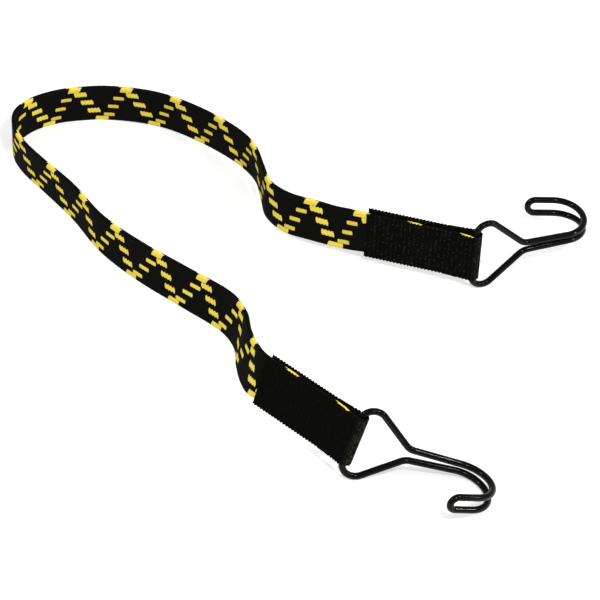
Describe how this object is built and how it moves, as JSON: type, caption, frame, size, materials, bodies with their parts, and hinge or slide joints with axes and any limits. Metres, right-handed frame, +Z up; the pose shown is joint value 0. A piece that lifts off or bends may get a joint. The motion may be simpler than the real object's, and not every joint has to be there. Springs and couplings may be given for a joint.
{
  "type": "bungee cord",
  "caption": "Flat elastic bungee cord standing on edge in an open U: a woven jacket over rubber strands, a sewn sleeve at each end and a swinging open wire hook on each.",
  "frame": {"origin": "middle of the part's outline on the floor, at floor height", "axes": "+Z up; the viewer of the picture looks along +Y, with +X to the right; the U opens toward +X"},
  "size_m": [0.2512, 0.235, 0.0333],
  "materials": {
    "band_webbing": "matte woven black elastic with a yellow zigzag of short woven dashes",
    "rubber": "matte natural rubber",
    "sleeve_webbing": "matte ribbed black webbing",
    "sewing_thread": "black twisted thread",
    "coated_wire": "glossy black coating over bent wire"
  },
  "bodies": {
    "cord": {"band_jacket": "band_webbing", "rubber_strand_1": "rubber", "rubber_strand_2": "rubber", "rubber_strand_3": "rubber", "rubber_strand_4": "rubber", "rubber_strand_5": "rubber", "rubber_strand_6": "rubber", "rubber_strand_7": "rubber", "rubber_strand_8": "rubber", "rear_sleeve": "sleeve_webbing", "front_sleeve": "sleeve_webbing", "rear_bar_seam": "sewing_thread", "rear_mouth_seam": "sewing_thread", "front_bar_seam": "sewing_thread", "front_mouth_seam": "sewing_thread"},
    "rear_hook": {"rear_hook": "coated_wire"},
    "front_hook": {"front_hook": "coated_wire"}
  },
  "joints": [
    {"name": "rear_hook_swing", "type": "hinge", "parent": "cord", "child": "rear_hook", "pos_m": [0.0759, 0.0201, 0.01769], "axis": [0.0027, 0.1258, 0.9921], "range_deg": [-172, 94]},
    {"name": "front_hook_swing", "type": "hinge", "parent": "cord", "child": "front_hook", "pos_m": [0.0272, -0.09004, 0.01844], "axis": [0.2734, 0.2373, 0.9322], "range_deg": [-177, 89]}
  ]
}
